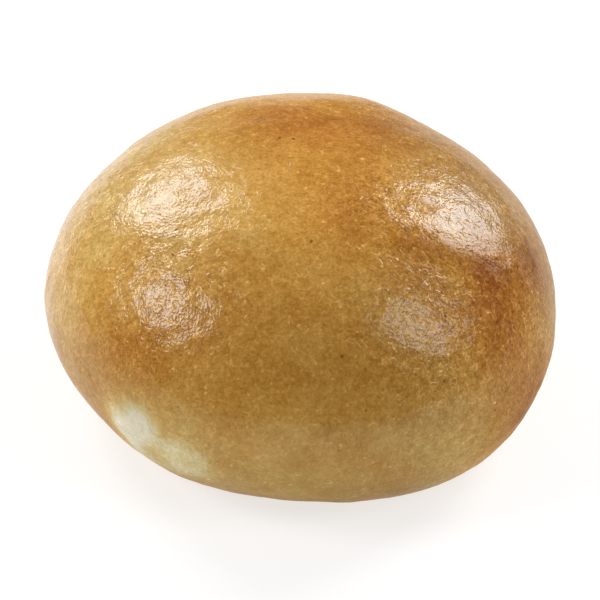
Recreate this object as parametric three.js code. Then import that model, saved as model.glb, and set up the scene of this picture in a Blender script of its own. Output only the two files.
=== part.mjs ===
// A wheat bun: one soft, uneven roll of risen dough with a glazed golden crust.
//
// It rests on the plane z = 0 on the flat base that the baking tray gave it. The origin is under the middle of its
// outline. +X is its right cheek, -Y its near side and +Z its crown. Lengths are in millimetres, angles in degrees.

import * as THREE from "three";

// The plain form: a squarish ellipsoid about the bun's widest level, taller above it than below.
const HEIGHT = 54;
const HALF_WIDTH = 48;
const HALF_DEPTH = 47.1;
const DOME_RISE = 34; // from the widest level up to the crown
const BELLY_DROP = 28.8; // from the widest level down, as deep as the belly would reach with no tray under it
const FULLNESS = 2.15; // 2 gives an ellipse in side view, and more gives fuller shoulders
const WIDEST_LEVEL = HEIGHT - DOME_RISE;

// The tray flattens the belly. The crust turns from side to base within this much height.
const BASE_ROUNDING = 1.5;

// What rising and its neighbours in the oven did to the plain form. Each place pushes the crust out by rise, or in
// where rise is negative, at an azimuth about +Z from +X and an elevation above the widest level, and fades with
// the angle from there.
const SWELLS_AND_FLATS = [
  { place: "left cheek", azimuth: 178, elevation: 7, spread: 28, rise: 2.1 },
  { place: "right cheek", azimuth: -4, elevation: -4, spread: 31, rise: 1.3 },
  { place: "near right belly", azimuth: -40, elevation: -24, spread: 27, rise: 2.3 },
  { place: "near left belly", azimuth: -100, elevation: -26, spread: 30, rise: -1.8 },
  { place: "pale flat where another bun touched", azimuth: -146, elevation: -10, spread: 20, rise: -1.2 },
  { place: "far right shoulder", azimuth: 45, elevation: 31, spread: 21, rise: -0.8 },
  { place: "ridge beside that shoulder", azimuth: 67, elevation: 39, spread: 13.5, rise: 0.9 },
  { place: "far left shoulder", azimuth: 132, elevation: 29, spread: 27, rise: 0.7 },
];

// Edges of about 3 mm keep the faceted crust within 0.03 mm of the smooth form.
const SPHERE_DETAIL = 15;

const CRUST_COLOUR = 0xb98645;
const CRUST_ROUGHNESS = 0.35;

function directionTo(azimuth, elevation) {
  const level = Math.cos(THREE.MathUtils.degToRad(elevation));
  const turn = THREE.MathUtils.degToRad(azimuth);
  return new THREE.Vector3(
    level * Math.cos(turn),
    level * Math.sin(turn),
    Math.sin(THREE.MathUtils.degToRad(elevation)),
  );
}

// How far the plain form reaches from the middle of the widest level in a direction.
function plainReach(direction) {
  const across = Math.hypot(direction.x / HALF_WIDTH, direction.y / HALF_DEPTH);
  const upOrDown = Math.abs(direction.z) / (direction.z > 0 ? DOME_RISE : BELLY_DROP);
  return (across ** FULLNESS + upOrDown ** FULLNESS) ** (-1 / FULLNESS);
}

function swellReach(direction, { azimuth, elevation, spread, rise }) {
  const away = THREE.MathUtils.radToDeg(direction.angleTo(directionTo(azimuth, elevation)));
  return rise * Math.exp(-((away / spread) ** 2));
}

// The height above the tray of crust that would be at this height with no tray: flat below, rounded near the tray.
function settledHeight(height) {
  if (height >= BASE_ROUNDING) return height;
  if (height <= -BASE_ROUNDING) return 0;
  return (height + BASE_ROUNDING) ** 2 / (4 * BASE_ROUNDING);
}

// The point of the crust that lies in a direction from the middle of the widest level.
function crustPoint(direction) {
  const swells = SWELLS_AND_FLATS.reduce((sum, swell) => sum + swellReach(direction, swell), 0);
  const point = direction.clone().multiplyScalar(plainReach(direction) + swells);
  point.z = settledHeight(point.z + WIDEST_LEVEL);
  return point;
}

function bunGeometry() {
  const geometry = new THREE.IcosahedronGeometry(1, SPHERE_DETAIL);
  const positions = geometry.getAttribute("position");
  const direction = new THREE.Vector3();
  for (let i = 0; i < positions.count; i++) {
    direction.fromBufferAttribute(positions, i).normalize();
    const point = crustPoint(direction);
    positions.setXYZ(i, point.x, point.y, point.z);
  }
  geometry.computeBoundingBox();
  const middle = geometry.boundingBox.getCenter(new THREE.Vector3());
  geometry.translate(-middle.x, -middle.y, 0);
  geometry.computeVertexNormals();
  return geometry;
}

const crust = new THREE.MeshStandardMaterial({
  color: CRUST_COLOUR,
  roughness: CRUST_ROUGHNESS,
  metalness: 0,
});

const bun = new THREE.Mesh(bunGeometry(), crust);
bun.name = "bun";

const part = new THREE.Group();
part.add(bun);

export default part;
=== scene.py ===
"""A glazed wheat bun on a plain pale floor.

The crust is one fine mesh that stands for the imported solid: the same form without its facets, with the low
relief of a glazed skin on it. How brown, light, glazed and wrinkled it is at each point comes from a list of
named places, and the crust's material adds what is finer. Lengths are in metres, and in millimetres where a
name ends in mm. Angles are in degrees.
"""

import math

import bmesh
import bpy
import numpy as np
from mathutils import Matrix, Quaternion, Vector, noise


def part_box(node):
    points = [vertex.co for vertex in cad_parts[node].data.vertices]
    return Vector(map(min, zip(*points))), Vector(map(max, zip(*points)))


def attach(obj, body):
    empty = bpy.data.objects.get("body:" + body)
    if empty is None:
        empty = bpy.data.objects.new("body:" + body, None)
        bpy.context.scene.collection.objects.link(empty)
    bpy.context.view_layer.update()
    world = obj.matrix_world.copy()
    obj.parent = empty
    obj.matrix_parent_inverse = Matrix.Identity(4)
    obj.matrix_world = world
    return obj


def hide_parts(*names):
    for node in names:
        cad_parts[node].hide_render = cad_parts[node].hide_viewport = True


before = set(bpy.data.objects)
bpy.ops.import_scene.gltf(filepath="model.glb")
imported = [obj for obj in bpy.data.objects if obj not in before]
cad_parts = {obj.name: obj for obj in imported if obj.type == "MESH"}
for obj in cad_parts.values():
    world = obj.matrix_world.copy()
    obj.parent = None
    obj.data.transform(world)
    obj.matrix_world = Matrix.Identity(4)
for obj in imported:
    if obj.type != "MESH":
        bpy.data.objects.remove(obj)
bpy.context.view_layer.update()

MM = 0.001
BUN_NODE = "bun"
BUN_BODY = "root"
WHITE = (1.0, 1.0, 1.0, 1.0)


def direction_to(azimuth, elevation):
    """The unit vector at an azimuth about +Z from +X and an elevation above the horizon."""
    level = math.cos(math.radians(elevation))
    turn = math.radians(azimuth)
    return Vector((level * math.cos(turn), level * math.sin(turn), math.sin(math.radians(elevation))))


# ---------------------------------------------------------------------------------------------------------
# Camera: it looks along +Y and down, as in the photograph.

CAMERA_AZIMUTH = -90.0
CAMERA_ELEVATION = 42.0
CAMERA_LENS_MM = 135.0
CAMERA_SENSOR_MM = 36.0
CAMERA_DISTANCE = 0.4375
CAMERA_AIM = Vector((0.0, -0.0019, 0.0215))
NEAREST_SEEN = 0.01
FURTHEST_SEEN = 50.0


def make_camera():
    data = bpy.data.cameras.new("camera")
    data.lens = CAMERA_LENS_MM
    data.sensor_width = CAMERA_SENSOR_MM
    data.clip_start = NEAREST_SEEN
    data.clip_end = FURTHEST_SEEN
    camera = bpy.data.objects.new("camera", data)
    towards_camera = direction_to(CAMERA_AZIMUTH, CAMERA_ELEVATION)
    camera.location = CAMERA_AIM + CAMERA_DISTANCE * towards_camera
    camera.rotation_euler = (-towards_camera).to_track_quat("-Z", "Y").to_euler()
    bpy.context.scene.collection.objects.link(camera)
    bpy.context.scene.camera = camera


# ---------------------------------------------------------------------------------------------------------
# The bun's form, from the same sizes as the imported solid

HEIGHT_MM = 54.0
HALF_WIDTH_MM = 48.0
HALF_DEPTH_MM = 47.1
DOME_RISE_MM = 34.0
BELLY_DROP_MM = 28.8
FULLNESS = 2.15
WIDEST_LEVEL_MM = HEIGHT_MM - DOME_RISE_MM
BASE_ROUNDING_MM = 1.5

# A place on the crust lies in the direction at=(azimuth, elevation) from the middle of the widest level. One
# that also has a far end, to=(azimuth, elevation), is all that lies between the two. What a place does to the
# crust fades with the angle from it, and its spread is the angle at which about a third of that is left.

# Each of these places pushes the crust out by its rise, or in where that is negative.
SWELLS_AND_FLATS = [
    dict(place="left cheek", at=(178, 7), spread=28, rise_mm=2.1),
    dict(place="right cheek", at=(-4, -4), spread=31, rise_mm=1.3),
    dict(place="near right belly", at=(-40, -24), spread=27, rise_mm=2.3),
    dict(place="near left belly", at=(-100, -26), spread=30, rise_mm=-1.8),
    dict(place="pale flat where another bun touched", at=(-146, -10), spread=20, rise_mm=-1.2),
    dict(place="far right shoulder", at=(45, 31), spread=21, rise_mm=-0.8),
    dict(place="ridge beside that shoulder", at=(67, 39), spread=13.5, rise_mm=0.9),
    dict(place="far left shoulder", at=(132, 29), spread=27, rise_mm=0.7),
]


def closeness(directions, place):
    """1 where a direction points at the place, fading with the angle from it."""
    start = np.array(direction_to(*place["at"]))
    nearest = start
    if "to" in place:
        arc = np.array(direction_to(*place["to"])) - start
        along = np.clip((directions - start) @ arc / (arc @ arc), 0.0, 1.0)
        nearest = start + along[:, None] * arc
        nearest /= np.linalg.norm(nearest, axis=1)[:, None]
    angle = np.degrees(np.arccos(np.clip((directions * nearest).sum(1), -1.0, 1.0)))
    return np.exp(-((angle / place["spread"]) ** 2))


def plain_reach(directions):
    """How far the plain form reaches from the middle of the widest level, in millimetres."""
    across = np.hypot(directions[:, 0] / HALF_WIDTH_MM, directions[:, 1] / HALF_DEPTH_MM)
    up_or_down = np.abs(directions[:, 2]) / np.where(directions[:, 2] > 0, DOME_RISE_MM, BELLY_DROP_MM)
    return (across ** FULLNESS + up_or_down ** FULLNESS) ** (-1.0 / FULLNESS)


def settled_height(heights):
    """The height of crust that would be at this height with no tray: flat below, rounded near the tray."""
    above = np.clip(heights, -BASE_ROUNDING_MM, BASE_ROUNDING_MM) + BASE_ROUNDING_MM
    return np.where(heights >= BASE_ROUNDING_MM, heights, above ** 2 / (4 * BASE_ROUNDING_MM))


def form_points(directions):
    """The smooth crust in each direction from the middle of the widest level, in metres."""
    reach = plain_reach(directions)
    for swell in SWELLS_AND_FLATS:
        reach += swell["rise_mm"] * closeness(directions, swell)
    points = directions * reach[:, None]
    points[:, 2] = settled_height(points[:, 2] + WIDEST_LEVEL_MM)
    return points * MM


def fitted_to_node(points):
    """The points moved and stretched by the last hair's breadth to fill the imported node's box."""
    node_low, node_high = (np.array(corner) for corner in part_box(BUN_NODE))
    low, high = points.min(0), points.max(0)
    return node_low + (points - low) * (node_high - node_low) / (high - low)


# ---------------------------------------------------------------------------------------------------------
# What the oven and the glaze made of each place of the crust

# Browning is 0 on raw dough and 1 on the darkest brown, and lightness multiplies the colour it gives. The
# glaze was brushed on from above, and 1 is a full coat of it. Wrinkling scales the skin's finer relief and
# speckle. These are the levels away from every place below.
PLAIN_CRUST = {"browning": 0.485, "lightness": 0.87, "glaze": 0.35, "wrinkling": 0.85}

# No sum of places goes past these levels.
CRUST_LIMITS = {
    "browning": (-0.3, 1.0),
    "lightness": (0.5, 1.5),
    "glaze": (0.0, 1.0),
    "wrinkling": (0.0, 3.0),
}

# Each of these places adds to some of the levels.
CRUST_PLACES = [
    # Glaze and wrinkles
    dict(place="glazed crown", at=(-120, 80), spread=52, glaze=0.6),
    dict(place="glazed left cheek", at=(175, 22), spread=26, glaze=0.5, wrinkling=0.45),
    dict(place="glazed left front", at=(-134, 34), spread=15, glaze=0.35, wrinkling=0.7),
    dict(place="glazed right front", at=(-52, 29), spread=14, glaze=0.4, wrinkling=0.7),
    dict(place="glazed right shoulder", at=(-12, 44), spread=18, glaze=0.43, wrinkling=0.8),
    dict(place="wrinkled above the right shoulder", at=(-32, 62), spread=11, glaze=0.12, wrinkling=0.7),
    dict(place="streaked above the left front", at=(-144, 46), spread=8, glaze=0.15, wrinkling=0.5),
    dict(place="thin glaze on the far right", at=(35, 33), spread=20, glaze=-0.15),
    dict(place="thin glaze at the back", at=(85, 58), spread=22, glaze=-0.15),
    dict(place="thin glaze on the right cheek", at=(-15, 8), spread=28, glaze=-0.15),
    dict(place="dull fold of the right shoulder", at=(-42.5, 51.5), to=(-30.5, 33), spread=5, glaze=-1.0),
    dict(place="gap in the glazed right shoulder", at=(-19, 51.5), spread=2.8, glaze=-0.9),
    dict(place="dull hot spot", at=(-24, 26), spread=9, glaze=-0.3),
    dict(place="bare foot", at=(-140, -13), to=(-90, -17), spread=14, glaze=-0.25),
    dict(place="bare foot on the right", at=(-90, -17), to=(-25, -9), spread=14, glaze=-0.25),
    dict(place="dull front", at=(-76, 31), spread=10, glaze=-0.15),
    dict(place="smooth belly", at=(-90, -5), spread=28, wrinkling=-0.3),
    dict(place="wrinkled left shoulder", at=(-168, 52), spread=16, wrinkling=0.15),
    dict(place="wrinkled right cheek", at=(-28, 18), spread=16, wrinkling=0.35),
    # The crown and behind it
    dict(place="crown", at=(10, 80), spread=22, browning=0.13, lightness=0.04),
    dict(place="golden left of the crown", at=(-140, 64), spread=20, browning=-0.13, lightness=0.06),
    dict(place="back of the crown", at=(105, 64), to=(50, 60), spread=15, browning=0.28, lightness=-0.04),
    dict(place="orange edge of the crown", at=(-50, 62), spread=15, browning=0.15, lightness=-0.03),
    dict(place="golden right of the crown", at=(0, 54), spread=12, browning=-0.08),
    # The right shoulder, with the fold below its highlight
    # These two only make the crust's colour darker on the right shoulder; they change no glaze.
    dict(place="darker right shoulder", at=(12, 30), spread=26, lightness=-0.24),
    dict(place="darker far shoulder", at=(42, 42), spread=15, browning=0.04, lightness=-0.15),
    # Painted shade: the crust is made darker where the right shoulder's highlight falls, so that the
    # highlight looks whiter.
    dict(place="painted shade under the right highlight", at=(-13, 42), spread=10, lightness=-0.16),
    dict(place="brown outer edge", at=(-7, 24), spread=5.5, browning=0.2, lightness=-0.07, glaze=-0.15),
    dict(place="brown under the highlight", at=(-41, 49), to=(-33, 38), spread=5, browning=0.08),
    # Along the fold the lower lightness is painted shade of its hollow; the browning there is the crust's own
    # colour.
    dict(place="upper end of the fold", at=(-41, 50), to=(-35, 43), spread=4, browning=0.15, lightness=-0.12),
    dict(place="lower end of the fold", at=(-30, 34), spread=4, browning=0.06, lightness=-0.1),
    dict(place="paler below the fold", at=(-39, 35), spread=4, browning=-0.13),
    # The right cheek
    # This only makes the crust's colour darker and less brown at the right edge; it changes no glaze.
    dict(place="darker right edge", at=(-10, 8), spread=16, browning=-0.12, lightness=-0.23),
    dict(place="brown above the cheek", at=(-24, 30), to=(-10, 17), spread=7, browning=0.3),
    dict(place="hot spot", at=(-35, 21), spread=14, browning=0.42, lightness=-0.05),
    dict(place="right flank", at=(-34, -2), spread=10, browning=0.26, lightness=-0.1),
    dict(place="brown rim of the cheek", at=(-24, -2), to=(-32, -9), spread=6, browning=0.2, lightness=-0.05),
    # The front
    dict(place="brown middle", at=(-114, 36), spread=11, browning=0.12),
    dict(place="deeper middle", at=(-72, 24), spread=30, lightness=-0.1),
    dict(place="deeper above the right front", at=(-48, 41), spread=10, browning=0.12, lightness=-0.1),
    dict(place="brown left of the right front", at=(-70, 30), spread=8, browning=0.14),
    dict(place="golden by the right front", at=(-60, 36), spread=10, browning=-0.12, lightness=-0.04),
    # The left cheek and beyond it
    dict(place="golden left cheek", at=(178, 32), spread=30, browning=-0.23, lightness=0.13),
    dict(place="lightest part of the left cheek", at=(-158, 25), spread=14, lightness=0.1),
    # Painted shade: the crust is made darker where the left highlight falls, so that the highlight looks
    # whiter.
    dict(place="painted shade under the left highlight", at=(-171, 50), spread=11, lightness=-0.2),
    dict(place="straw far left", at=(138, 40), spread=20, browning=-0.12),
    dict(place="golden rim of the left cheek", at=(-162, 9), spread=12, browning=-0.14),
    dict(place="band below the left cheek", at=(-134, 18), spread=13, browning=0.29, lightness=-0.02),
    # The pale kiss of another bun
    dict(place="kiss", at=(-133, -2), to=(-131.5, 4), spread=5.7, browning=-0.42, wrinkling=-0.4),
    dict(place="halo of the kiss", at=(-126, 9), to=(-119, 4), spread=10, browning=-0.24, lightness=0.04),
    dict(place="tail of the kiss", at=(-127, -1), to=(-119, -6), spread=7, browning=-0.14, lightness=0.03),
    dict(place="below the kiss", at=(-130, -9), to=(-124, -12), spread=4.5, browning=-0.16, lightness=-0.06),
    dict(place="rim beside the kiss", at=(-139, 0), to=(-133, -12), spread=5, browning=-0.24, lightness=0.08),
    dict(place="straw by the kiss", at=(-112, -6), to=(-98, -4), spread=14, browning=-0.12, lightness=0.03),
    # The belly
    dict(place="straw near the base", at=(-88, -12), spread=28, browning=-0.14),
    dict(place="shaded foot", at=(-106, -18), to=(-66, -17), spread=13, lightness=-0.26),
    dict(place="straw right front", at=(-52, 6), spread=16, browning=-0.2),
    dict(place="straw right of the base", at=(-56, -14), spread=12, browning=-0.12),
]


def crust_level(directions, kind):
    """The level of browning, lightness, glaze or wrinkling of the crust in each direction."""
    level = np.full(len(directions), PLAIN_CRUST[kind])
    for place in CRUST_PLACES:
        if kind in place:
            level += place[kind] * closeness(directions, place)
    return np.clip(level, *CRUST_LIMITS[kind])


# ---------------------------------------------------------------------------------------------------------
# Low relief of the skin, pushed out along the crust's normal

# Each layer is smooth noise with lumps about this wide, up to this much out or in. Where it wrinkles, the
# crust's wrinkling scales it.
SKIN_RELIEF = [
    dict(layer="slack swells of the dough", lump_mm=13.0, height_mm=0.20, seed=11.0, wrinkles=False),
    dict(layer="shallow dents", lump_mm=5.5, height_mm=0.12, seed=23.0, wrinkles=False),
    dict(layer="wrinkled skin", lump_mm=2.4, height_mm=0.08, seed=37.0, wrinkles=True),
    dict(layer="blistered glaze", lump_mm=1.3, height_mm=0.04, seed=51.0, wrinkles=True),
]
# The tray pressed the base flat, so the relief fades out over this height.
RELIEF_FADE_MM = 2.0

# The dents that the photograph shows singly
DENTS = [
    dict(place="pit in the glazed right shoulder", at=(-15, 50), spread=1.8, depth_mm=0.2),
    dict(place="notch at its lower edge", at=(-37, 50), to=(-33, 46), spread=1.6, depth_mm=0.12),
    dict(place="gap in the glazed left front", at=(-134, 38), to=(-131, 34), spread=2.0, depth_mm=0.12),
    dict(place="upper furrow on the left", at=(-158, 43), to=(-154, 61), spread=1.1, depth_mm=0.035),
    dict(place="lower furrow on the left", at=(-148, 43), to=(-143, 59), spread=1.1, depth_mm=0.035),
]


def relief_heights(points, directions):
    """How far the skin's relief stands out at each point of the smooth crust, in metres."""
    heights = np.zeros(len(points))
    wrinkling = crust_level(directions, "wrinkling")
    for layer in SKIN_RELIEF:
        shift = Vector((layer["seed"], 0.0, 0.0))
        lump = layer["lump_mm"] * MM
        waves = [noise.noise(Vector(point / lump) + shift) for point in points]
        strength = wrinkling if layer["wrinkles"] else 1.0
        heights += layer["height_mm"] * MM * strength * np.array(waves)
    for dent in DENTS:
        heights -= dent["depth_mm"] * MM * closeness(directions, dent)
    return heights * np.clip(points[:, 2] / (RELIEF_FADE_MM * MM), 0.0, 1.0)


# ---------------------------------------------------------------------------------------------------------
# The crust's mesh

GRID_CUTS = 127  # across each side of the cube that becomes the crust, which makes squares of about 0.45 mm
SIDE_REACH = 45.0  # degrees from the middle of a side of that cube to its edge
BASE_LIFT = 10.0  # the most degrees that the grid's lower points move up, as the flat base needs few of them


def cube_grid():
    """A mesh of a cube that reaches from -1 to 1 each way, with a fine grid on its sides."""
    grid = bmesh.new()
    bmesh.ops.create_cube(grid, size=2.0)
    bmesh.ops.subdivide_edges(grid, edges=grid.edges[:], cuts=GRID_CUTS, use_grid_fill=True)
    mesh = bpy.data.meshes.new("bun_crust")
    grid.to_mesh(mesh)
    grid.free()
    return mesh


def vertex_vectors(mesh, name):
    """One row for each vertex of the mesh: its place for the name co, or its normal for the name normal."""
    values = np.empty(len(mesh.vertices) * 3)
    mesh.vertices.foreach_get(name, values)
    return values.reshape(-1, 3)


def even_directions(cube_points):
    """The directions of the cube's grid points, evenly turned, with the lower ones lifted off the base."""
    x, y, z = np.tan(np.radians(SIDE_REACH) * cube_points).T
    azimuth = np.arctan2(y, x)
    elevation = np.arctan2(z, np.hypot(x, y))
    lifted = elevation - np.radians(BASE_LIFT) * np.sin(2.0 * np.minimum(elevation, 0.0))
    level = np.cos(lifted)
    return np.column_stack((level * np.cos(azimuth), level * np.sin(azimuth), np.sin(lifted)))


def add_attribute(mesh, name, values):
    mesh.attributes.new(name, "FLOAT", "POINT").data.foreach_set("value", values)


def make_bun():
    mesh = cube_grid()
    directions = even_directions(vertex_vectors(mesh, "co"))
    points = fitted_to_node(form_points(directions))
    mesh.vertices.foreach_set("co", points.ravel())
    mesh.update()
    points += vertex_vectors(mesh, "normal") * relief_heights(points, directions)[:, None]
    mesh.vertices.foreach_set("co", fitted_to_node(points).ravel())
    mesh.update()
    mesh.shade_smooth()
    for kind in PLAIN_CRUST:
        add_attribute(mesh, kind, crust_level(directions, kind))
    bun = bpy.data.objects.new("bun_crust", mesh)
    bpy.context.scene.collection.objects.link(bun)
    return bun


# ---------------------------------------------------------------------------------------------------------
# The steps that materials are put together from. Each that is named node gives the socket with its result.

def new_material(name):
    """A new material, with its node tree and its shader."""
    material = bpy.data.materials.new(name)
    material.use_nodes = True
    return material, material.node_tree, material.node_tree.nodes["Principled BSDF"]


def place_node(tree):
    """The place of the point that is shaded, fixed to the piece."""
    return tree.nodes.new("ShaderNodeTexCoord").outputs["Object"]


def attribute_node(tree, name):
    attribute = tree.nodes.new("ShaderNodeAttribute")
    attribute.attribute_name = name
    return attribute.outputs["Fac"]


def noise_node(tree, lump_mm, detail=0.0, roughness=0.5, output="Fac"):
    """Smooth noise with lumps of about this size, fixed to the piece."""
    texture = tree.nodes.new("ShaderNodeTexNoise")
    texture.inputs["Scale"].default_value = 1.0 / (lump_mm * MM)
    texture.inputs["Detail"].default_value = detail
    texture.inputs["Roughness"].default_value = roughness
    tree.links.new(place_node(tree), texture.inputs["Vector"])
    return texture.outputs[output]


def math_node(tree, operation, *values):
    """The result of a sum on numbers or other nodes' results."""
    node = tree.nodes.new("ShaderNodeMath")
    node.operation = operation
    for socket, value in zip(node.inputs, values):
        if isinstance(value, (int, float)):
            socket.default_value = value
        else:
            tree.links.new(value, socket)
    return node.outputs["Value"]


def limited_node(tree, value):
    """The value kept between 0 and 1."""
    return math_node(tree, "MINIMUM", math_node(tree, "MAXIMUM", value, 0.0), 1.0)


def spread_node(tree, value, low, high):
    """The value moved from the range of 0 to 1 to that of low to high."""
    return math_node(tree, "MULTIPLY_ADD", value, high - low, low)


def grain_node(tree, layers, middle):
    """A number that wanders about the middle, as much as the layers' amounts say."""
    total = middle
    for layer in layers:
        reach = layer["amount"] / 2
        wave = spread_node(tree, noise_node(tree, layer["lump_mm"]), -reach, reach)
        total = math_node(tree, "ADD", wave, total)
    return total


def vector_node(tree, operation, *values, output="Vector"):
    """The result of a sum on places or colours."""
    node = tree.nodes.new("ShaderNodeVectorMath")
    node.operation = operation
    for socket, value in zip(node.inputs, values):
        if isinstance(value, tuple):
            socket.default_value = value
        else:
            tree.links.new(value, socket)
    return node.outputs[output]


def brightened_node(tree, colour, factor):
    """The colour multiplied by the factor."""
    node = tree.nodes.new("ShaderNodeVectorMath")
    node.operation = "SCALE"
    tree.links.new(colour, node.inputs["Vector"])
    tree.links.new(factor, node.inputs["Scale"])
    return node.outputs["Vector"]


def gamma_node(tree, colour, gamma):
    node = tree.nodes.new("ShaderNodeGamma")
    node.inputs["Gamma"].default_value = gamma
    tree.links.new(colour, node.inputs["Color"])
    return node.outputs["Color"]


def ramp_node(tree, level, stops):
    """The colour for a level, from stops of (level, colour)."""
    ramp = tree.nodes.new("ShaderNodeValToRGB")
    elements = ramp.color_ramp.elements
    while len(elements) < len(stops):
        elements.new(1.0)
    for element, (position, colour) in zip(elements, stops):
        element.position = position
        element.color = (*colour, 1.0)
    tree.links.new(level, ramp.inputs["Fac"])
    return ramp.outputs["Color"]


def bump_node(tree, height):
    """The surface's direction with this height on it, in millimetres."""
    bump = tree.nodes.new("ShaderNodeBump")
    bump.inputs["Distance"].default_value = MM
    tree.links.new(height, bump.inputs["Height"])
    return bump.outputs["Normal"]


# ---------------------------------------------------------------------------------------------------------
# The crust's colour

# From raw dough, at browning 0, to the darkest brown
BROWNING_COLOURS = [
    (0.0, (0.80, 0.72, 0.52)),
    (0.1, (0.70, 0.56, 0.25)),
    (0.2, (0.62, 0.39, 0.10)),
    (0.4, (0.56, 0.285, 0.045)),
    (0.6, (0.53, 0.235, 0.025)),
    (0.8, (0.47, 0.175, 0.012)),
    (1.0, (0.36, 0.11, 0.006)),
]

# Smooth grain: lumps this wide, and how far the highest and the lowest of them lie apart, in browning or in
# tone. A tone is a step to lighter or darker as the eye sees it, as a share of that from black to white.
BROWNING_GRAIN = [
    dict(lump_mm=4.5, amount=0.16),
    dict(lump_mm=10.0, amount=0.18),
]
CLOUDS = [
    dict(lump_mm=3.0, amount=0.05),
    dict(lump_mm=7.0, amount=0.06),
]
# The speckle's lighter flecks stand partly for painted glints of the glaze's fine relief; the rest is the
# crust's own grain.
SPECKLE = [
    dict(lump_mm=0.32, amount=0.15),
    dict(lump_mm=0.65, amount=0.14),
    dict(lump_mm=1.4, amount=0.11),
]

# The eye sees light raised to the power of 1 / EYE_GAMMA.
EYE_GAMMA = 2.2

# Thin curly crests on the skin run where smooth noise, with lumps of lump_mm, is within this width of its
# middle. Other noise, with lumps of break_mm, breaks them off where it is below its middle, this abruptly.
# The crests' height is real relief, and their tone is a painted glint along them.
CRESTS = dict(lump_mm=1.3, width=0.09, break_mm=1.7, abruptness=4.0, height_mm=0.03, tone=0.08)

# Small marks: one in each cell of this size. The higher the faintness, the fewer of them show plainly.
MARKS = [
    # The pale blisters are partly pale flecks of the crust and partly painted glints of the glaze.
    dict(mark="pale fleck and painted glint", cell_mm=1.5, radius_mm=0.37, faintness=2.2, tone=0.17),
    dict(mark="pore", cell_mm=1.9, radius_mm=0.3, faintness=2.5, tone=-0.12),
    dict(mark="bit of bran", cell_mm=2.4, radius_mm=0.3, faintness=4.0, tone=-0.22),
    dict(mark="brown spot", cell_mm=6.5, radius_mm=1.3, faintness=3.0, tone=-0.07),
]
# The outlines of the marks waver by up to about this much, in waves about this long.
MARK_UNEVENNESS_MM = 0.5
MARK_RIM = 0.5  # the share of a mark's radius over which it fades

# The bits of bran that the photograph shows singly, at (azimuth, elevation)
BRAN_BITS = [
    (-149, 48), (-141, 43), (-84, 58), (-79, 28), (-81, 10),
    (-82, -2), (-57, 15), (99, 77), (115, 75), (-103, 14),
]
BRAN_RADIUS_MM = 0.42
BRAN_TONE = -0.22


def disc_node(tree, distance, radius):
    """1 in the middle of a round mark and 0 outside it, soft at its edge."""
    inside = math_node(tree, "MULTIPLY_ADD", distance, -1.0 / (MARK_RIM * radius), 1.0 / MARK_RIM)
    return limited_node(tree, inside)


def marks_node(tree, mark):
    """The tone of one kind of small uneven mark, scattered over the crust."""
    wobble = noise_node(tree, MARK_UNEVENNESS_MM, output="Color")
    shift = (MARK_UNEVENNESS_MM * MM,) * 3
    cells = tree.nodes.new("ShaderNodeTexVoronoi")
    cells.inputs["Scale"].default_value = 1.0 / (mark["cell_mm"] * MM)
    place = vector_node(tree, "MULTIPLY_ADD", wobble, shift, place_node(tree))
    tree.links.new(place, cells.inputs["Vector"])
    chance = tree.nodes.new("ShaderNodeSeparateColor")
    tree.links.new(cells.outputs["Color"], chance.inputs["Color"])
    strength = math_node(tree, "POWER", chance.outputs["Red"], mark["faintness"])
    disc = disc_node(tree, cells.outputs["Distance"], mark["radius_mm"] / mark["cell_mm"])
    return math_node(tree, "MULTIPLY", math_node(tree, "MULTIPLY", disc, strength), mark["tone"])


def bran_node(tree):
    """The tone of the bits of bran that are placed singly."""
    places = form_points(np.array([direction_to(*bit) for bit in BRAN_BITS]))
    distances = [
        vector_node(tree, "DISTANCE", place_node(tree), tuple(place), output="Value")
        for place in places
    ]
    nearest = distances[0]
    for distance in distances[1:]:
        nearest = math_node(tree, "MINIMUM", nearest, distance)
    return math_node(tree, "MULTIPLY", disc_node(tree, nearest, BRAN_RADIUS_MM * MM), BRAN_TONE)


def crests_node(tree):
    """1 on the crests of the finest wrinkles, which are thin, curly and short."""
    wave = math_node(tree, "SUBTRACT", noise_node(tree, CRESTS["lump_mm"]), 0.5)
    near = math_node(tree, "MULTIPLY_ADD", math_node(tree, "ABSOLUTE", wave), -1.0 / CRESTS["width"], 1.0)
    abruptness = CRESTS["abruptness"]
    breaks = spread_node(tree, noise_node(tree, CRESTS["break_mm"]), -abruptness, abruptness)
    return math_node(tree, "MULTIPLY", limited_node(tree, near), limited_node(tree, breaks))


def fine_tone(tree):
    """How much lighter or darker the crust is than its browning makes it. Its lighter speckle, pale blisters
    and crests are partly painted glints.
    """
    fine = grain_node(tree, SPECKLE, math_node(tree, "MULTIPLY", crests_node(tree), CRESTS["tone"]))
    for mark in MARKS:
        fine = math_node(tree, "ADD", fine, marks_node(tree, mark))
    fine = math_node(tree, "MULTIPLY", fine, attribute_node(tree, "wrinkling"))
    return math_node(tree, "ADD", grain_node(tree, CLOUDS, fine), bran_node(tree))


def toned_node(tree, colour, tone):
    """The colour made lighter or darker by an equal step to the eye."""
    stepped = vector_node(tree, "ADD", gamma_node(tree, colour, 1.0 / EYE_GAMMA), tone)
    return gamma_node(tree, vector_node(tree, "MAXIMUM", stepped, (0.0, 0.0, 0.0)), EYE_GAMMA)


def crust_colour(tree):
    browning = grain_node(tree, BROWNING_GRAIN, attribute_node(tree, "browning"))
    baked = ramp_node(tree, browning, BROWNING_COLOURS)
    return toned_node(tree, brightened_node(tree, baked, attribute_node(tree, "lightness")), fine_tone(tree))


# ---------------------------------------------------------------------------------------------------------
# The crust's finish: baked dough with a clear coat of glaze

# The pebbled skin between the crests
PEBBLES = dict(lump_mm=0.55, detail=1.0, roughness=0.4)
PEBBLE_HEIGHT_MM = 0.065

CRUST_ROUGHNESS = 0.5
CRUST_SPECULAR = 0.08
GLAZE_ROUGHNESS = 0.17
GLAZE_IOR = 1.525


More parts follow.
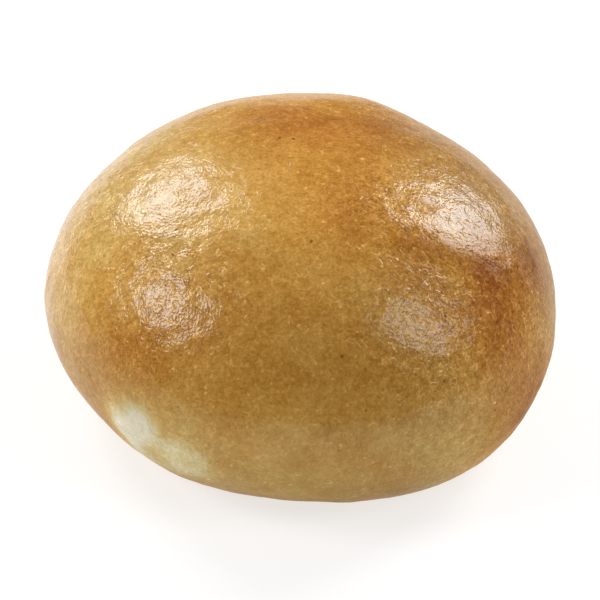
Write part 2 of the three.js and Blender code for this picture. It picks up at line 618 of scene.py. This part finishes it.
def skin_height(tree):
    """The height of the relief that is too fine for the mesh, in millimetres."""
    pebbles = math_node(tree, "MULTIPLY", noise_node(tree, **PEBBLES), PEBBLE_HEIGHT_MM)
    fine = math_node(tree, "MULTIPLY_ADD", crests_node(tree), CRESTS["height_mm"], pebbles)
    return math_node(tree, "MULTIPLY", fine, attribute_node(tree, "wrinkling"))


def crust_material():
    material, tree, shader = new_material("bun_crust")
    tree.links.new(crust_colour(tree), shader.inputs["Base Color"])
    shader.inputs["Roughness"].default_value = CRUST_ROUGHNESS
    shader.inputs["Specular IOR Level"].default_value = CRUST_SPECULAR
    tree.links.new(attribute_node(tree, "glaze"), shader.inputs["Coat Weight"])
    shader.inputs["Coat Roughness"].default_value = GLAZE_ROUGHNESS
    shader.inputs["Coat IOR"].default_value = GLAZE_IOR
    skin = bump_node(tree, skin_height(tree))
    tree.links.new(skin, shader.inputs["Normal"])
    tree.links.new(skin, shader.inputs["Coat Normal"])
    return material


# ---------------------------------------------------------------------------------------------------------
# Floor: it glows a little, so that it stays pale and the bun's shadow on it is faint.

FLOOR_HALF_SIZE = 0.35
FLOOR_GREY = 0.4
FLOOR_ROUGHNESS = 0.8
FLOOR_GLOW = 0.68


def floor_material():
    material, _, shader = new_material("pale_floor")
    shader.inputs["Base Color"].default_value = (FLOOR_GREY, FLOOR_GREY, FLOOR_GREY, 1.0)
    shader.inputs["Roughness"].default_value = FLOOR_ROUGHNESS
    shader.inputs["Specular IOR Level"].default_value = 0.0
    shader.inputs["Emission Color"].default_value = WHITE
    shader.inputs["Emission Strength"].default_value = FLOOR_GLOW
    return material


def make_floor():
    mesh = bpy.data.meshes.new("floor")
    half = FLOOR_HALF_SIZE
    corners = [(-half, -half, 0), (half, -half, 0), (half, half, 0), (-half, half, 0)]
    mesh.from_pydata(corners, [], [(0, 1, 2, 3)])
    floor = bpy.data.objects.new("floor", mesh)
    floor.data.materials.append(floor_material())
    bpy.context.scene.collection.objects.link(floor)


# ---------------------------------------------------------------------------------------------------------
# Light

# Each softbox stands this far off in the direction at=(azimuth, elevation) and faces the bun.
SOFTBOX_DISTANCE = 0.9
SOFTBOXES = [
    dict(name="far_left", at=(129, 37), width=0.34, height=0.36, turn=0, radiance=9.1),
    dict(name="left", at=(-171, 40), width=0.32, height=0.36, turn=0, radiance=8.5),
    dict(name="far_right", at=(39.3, 32.3), width=0.4, height=0.5, turn=0, radiance=8.6),
    dict(name="right", at=(-24, 41), width=0.23, height=0.55, turn=13, radiance=4.6),
]
SKY_RADIANCE = 0.27
BACKDROP_RADIANCE = 1.0


def make_softbox(name, at, width, height, turn, radiance):
    data = bpy.data.lights.new(name, "AREA")
    data.shape = "RECTANGLE"
    data.size = width
    data.size_y = height
    data.energy = radiance * math.pi * width * height
    light = bpy.data.objects.new(name, data)
    away = direction_to(*at)
    light.location = SOFTBOX_DISTANCE * away
    turned = Quaternion((0.0, 0.0, 1.0), math.radians(turn))
    light.rotation_euler = (away.to_track_quat("Z", "Y") @ turned).to_euler()
    bpy.context.scene.collection.objects.link(light)


def make_world():
    """A dim room for the crust to reflect, and a pale backdrop that only the camera sees."""
    world = bpy.data.worlds.new("studio")
    world.use_nodes = True
    tree = world.node_tree
    room = tree.nodes["Background"]
    room.inputs["Strength"].default_value = SKY_RADIANCE
    room.inputs["Color"].default_value = WHITE
    backdrop = tree.nodes.new("ShaderNodeBackground")
    backdrop.inputs["Strength"].default_value = BACKDROP_RADIANCE
    backdrop.inputs["Color"].default_value = WHITE
    seen = tree.nodes.new("ShaderNodeLightPath")
    either = tree.nodes.new("ShaderNodeMixShader")
    tree.links.new(seen.outputs["Is Camera Ray"], either.inputs["Fac"])
    tree.links.new(room.outputs["Background"], either.inputs[1])
    tree.links.new(backdrop.outputs["Background"], either.inputs[2])
    tree.links.new(either.outputs["Shader"], tree.nodes["World Output"].inputs["Surface"])
    bpy.context.scene.world = world
    bpy.context.scene.view_settings.view_transform = "Standard"


# ---------------------------------------------------------------------------------------------------------
# The scene

make_camera()
bun = make_bun()
bun.data.materials.append(crust_material())
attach(bun, BUN_BODY)
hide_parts(BUN_NODE)
make_floor()
for softbox in SOFTBOXES:
    make_softbox(**softbox)
make_world()
